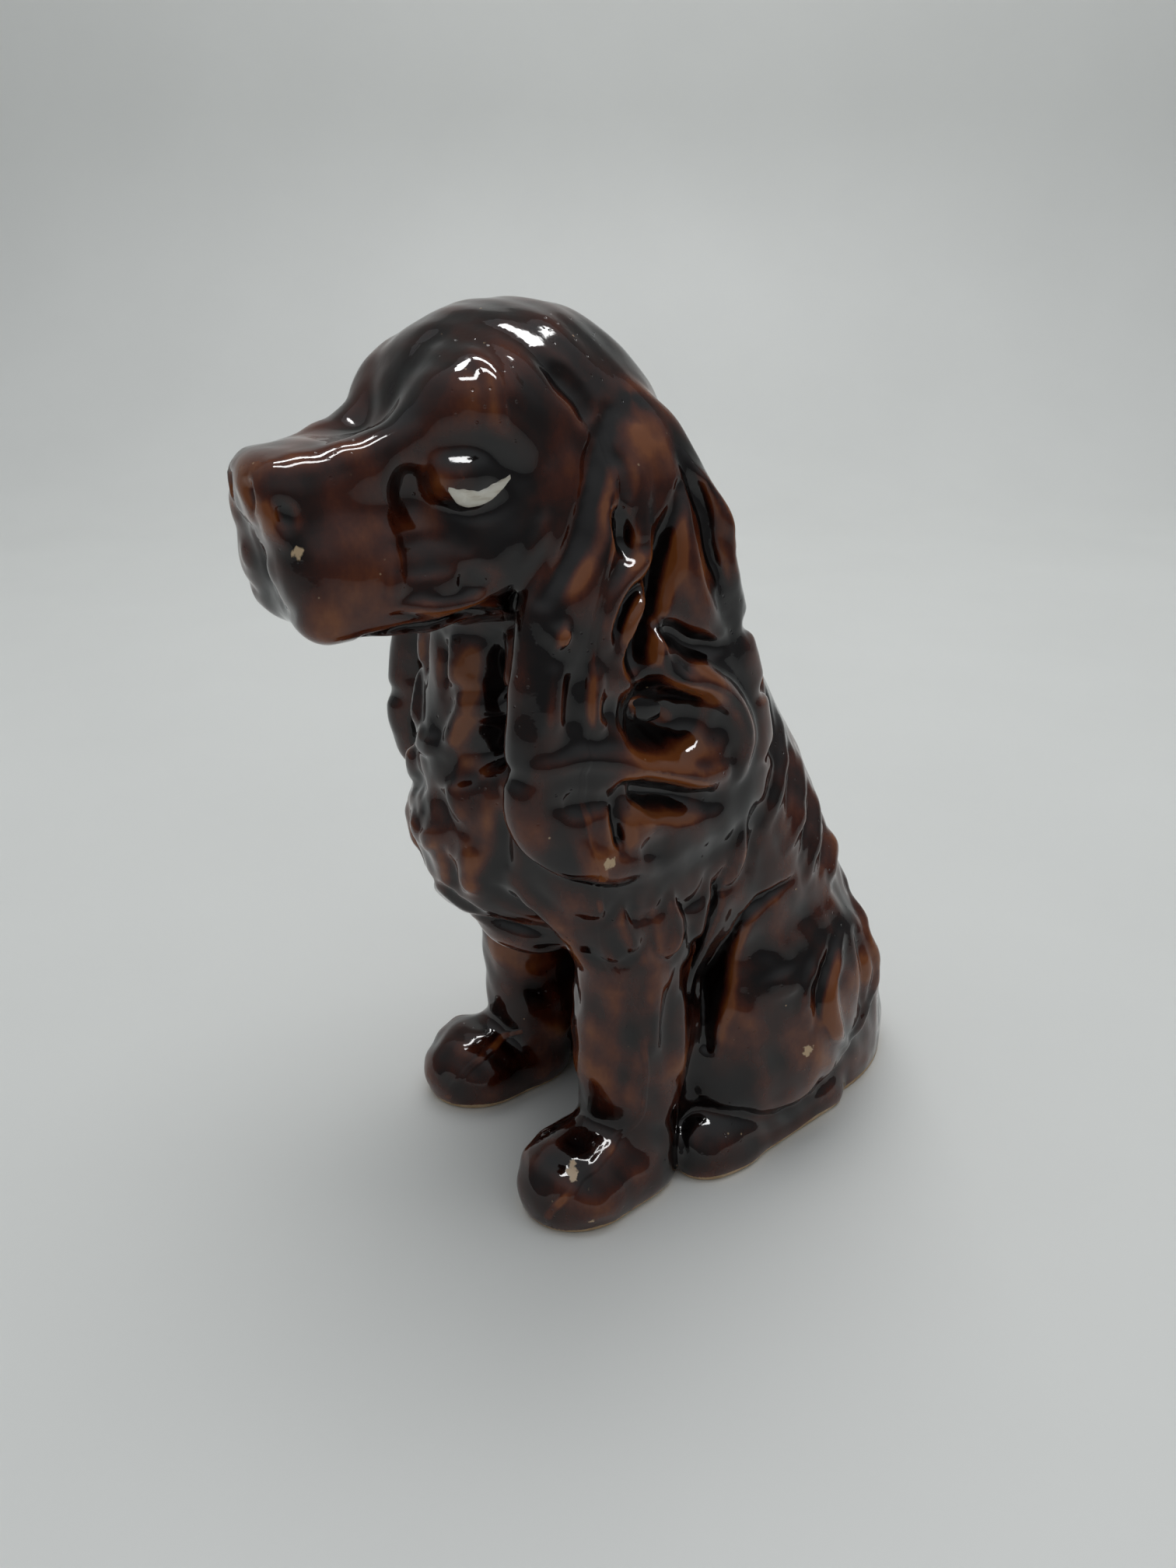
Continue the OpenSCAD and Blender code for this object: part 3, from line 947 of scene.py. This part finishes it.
def eye_white(side_name, sign):
    """A thin raised patch of enamel that follows the face under the eye."""
    rows, columns = 41, 15
    low, high = curve_through(WHITE_LOWER, 8), curve_through(WHITE_UPPER, 8)
    outer, inner = [], []
    for i in range(rows):
        for j in range(columns):
            u, v = i / (rows - 1), j / (columns - 1)
            lower, upper = low[int(u * (len(low) - 1))], high[int(u * (len(high) - 1))]
            y, z = lower * (1 - v) + upper * v
            ragged = 0.16 * math.sin(17 * u + 2 * sign) + 0.10 * math.sin(41 * u + 1.3)
            z = z + ragged * (v - 0.3)
            start = Vector((sign * OUTSIDE * MM, y * MM, z * MM))
            hit, normal, _, _ = figure_tree.ray_cast(start, Vector((-sign, 0, 0)))
            edge = min(math.sin(math.pi * v), math.sin(math.pi * u))
            outer.append(hit + normal * (RAISED * edge ** 0.45 - SUNK) * MM)
            inner.append(hit - normal * UNDERSIDE * MM)
    # The front, the back turned round, and walls along the patch's edge.
    n = len(outer)
    grid = np.arange(n).reshape(rows, columns)
    front = np.stack([grid[:-1, :-1], grid[1:, :-1], grid[1:, 1:], grid[:-1, 1:]], -1)
    front = front.reshape(-1, 4)
    ring = np.concatenate([grid[:, 0], grid[-1, 1:], grid[-2::-1, -1], grid[0, -2:0:-1]])
    after = np.roll(ring, -1)
    faces = np.concatenate([np.stack([front, front[:, ::-1] + n], 1).reshape(-1, 4),
                            np.stack([after, ring, ring + n, after + n], 1)])
    if sign > 0:
        faces = faces[:, ::-1]
    mesh = bpy.data.meshes.new("enamel_" + side_name)
    mesh.from_pydata([tuple(p) for p in outer + inner], [], faces.tolist())
    mesh.polygons.foreach_set("use_smooth", [True] * len(faces))
    mesh.materials.append(ENAMEL)
    obj = new_object("enamel_" + side_name, mesh)
    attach(obj, "root")
    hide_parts(side_name + "_eye_white")


for side_name, sign in (("left", 1), ("right", -1)):
    eye_white(side_name, sign)


# ---------------------------------------------------------------- room, lights and camera
# The camera was solved from the photograph's perspective. Its place is in metres, its lens in
# millimetres, and its azimuth turns from the dog's front (-Y) towards its left side (+X).
CAMERA_PLACE = Vector((0.21697, -0.14417, 0.20641))
CAMERA_AZIMUTH = math.radians(58.23)
CAMERA_PITCH = math.radians(23.7)
CAMERA_LENS = 27.27


def sweep():
    """A pale table top that curves up into a plain wall behind the dog, in metres."""
    half_width, near, turn, radius, top = 3.0, -2.5, 0.75, 0.35, 2.2
    profile = [(near, 0.0), (turn, 0.0)]
    for a in np.linspace(0.08, math.pi / 2, 18):
        profile.append((turn + radius * math.sin(a), radius * (1 - math.cos(a))))
    profile.append((turn + radius, top))
    verts = [(x, y, z) for y, z in profile for x in (-half_width, half_width)]
    faces = [(2 * i, 2 * i + 1, 2 * i + 3, 2 * i + 2) for i in range(len(profile) - 1)]
    mesh = bpy.data.meshes.new("sweep")
    mesh.from_pydata(verts, [], faces)
    mesh.polygons.foreach_set("use_smooth", [True] * len(faces))
    mesh.materials.append(pale_table())
    obj = new_object("sweep", mesh)
    # The wall faces the camera, not the dog's own axis.
    obj.rotation_euler = (0, 0, CAMERA_AZIMUTH)


def area_light(name, place, size, power):
    """A rectangular light that shines straight down, its length across the line of sight."""
    data = bpy.data.lights.new(name, "AREA")
    data.shape, data.energy = "RECTANGLE", power
    data.size, data.size_y = size
    obj = new_object(name, data)
    turned = Matrix.Rotation(CAMERA_AZIMUTH - math.pi / 2, 4, "Z")
    obj.matrix_world = Matrix.Translation(place) @ turned
    return obj


def dim_room():
    """A world that is pale overhead and dim towards its walls."""
    world = bpy.data.worlds.new("room")
    bpy.context.scene.world = world
    world.use_nodes = True
    tree = world.node_tree
    background = tree.nodes["Background"]
    background.inputs["Color"].default_value = (0.93, 0.97, 1.0, 1)
    direction = tree.nodes.new("ShaderNodeSeparateXYZ")
    place = tree.nodes.new("ShaderNodeTexCoord").outputs["Generated"]
    tree.links.new(place, direction.inputs[0])
    overhead = tree.nodes.new("ShaderNodeMapRange")
    overhead.interpolation_type = "SMOOTHSTEP"
    strength = {"From Min": 0.05, "From Max": 1.0, "To Min": 0.17, "To Max": 0.52}
    for key, value in strength.items():
        overhead.inputs[key].default_value = value
    tree.links.new(direction.outputs["Z"], overhead.inputs["Value"])
    tree.links.new(overhead.outputs[0], background.inputs["Strength"])


dim_room()
sweep()
# The ceiling light gives the soft light of the room, and isn't seen in the glaze.
area_light("ceiling", (-0.25, 0.25, 1.2), (1.1, 1.1), 6.4).visible_glossy = False
# Two ceiling strips across the line of sight. They show in the glaze and light nothing else.
along_view = Vector((math.sin(CAMERA_AZIMUTH), -math.cos(CAMERA_AZIMUTH), 0))
for i, offset in enumerate((-0.20, 0.20)):
    place = Vector((-0.05, 0.05, 1.15)) + along_view * offset
    area_light("strip_%d" % i, place, (0.13, 0.9), 7).visible_diffuse = False

camera_data = bpy.data.cameras.new("camera")
camera_data.sensor_width, camera_data.lens = 36, CAMERA_LENS
camera_data.clip_start = 0.01
camera = new_object("camera", camera_data)
toward = along_view * -math.cos(CAMERA_PITCH) - Vector((0, 0, math.sin(CAMERA_PITCH)))
turned = toward.to_track_quat("-Z", "Y").to_matrix().to_4x4()
camera.matrix_world = Matrix.Translation(CAMERA_PLACE) @ turned
bpy.context.scene.camera = camera
bpy.context.scene.view_settings.view_transform = "Standard"
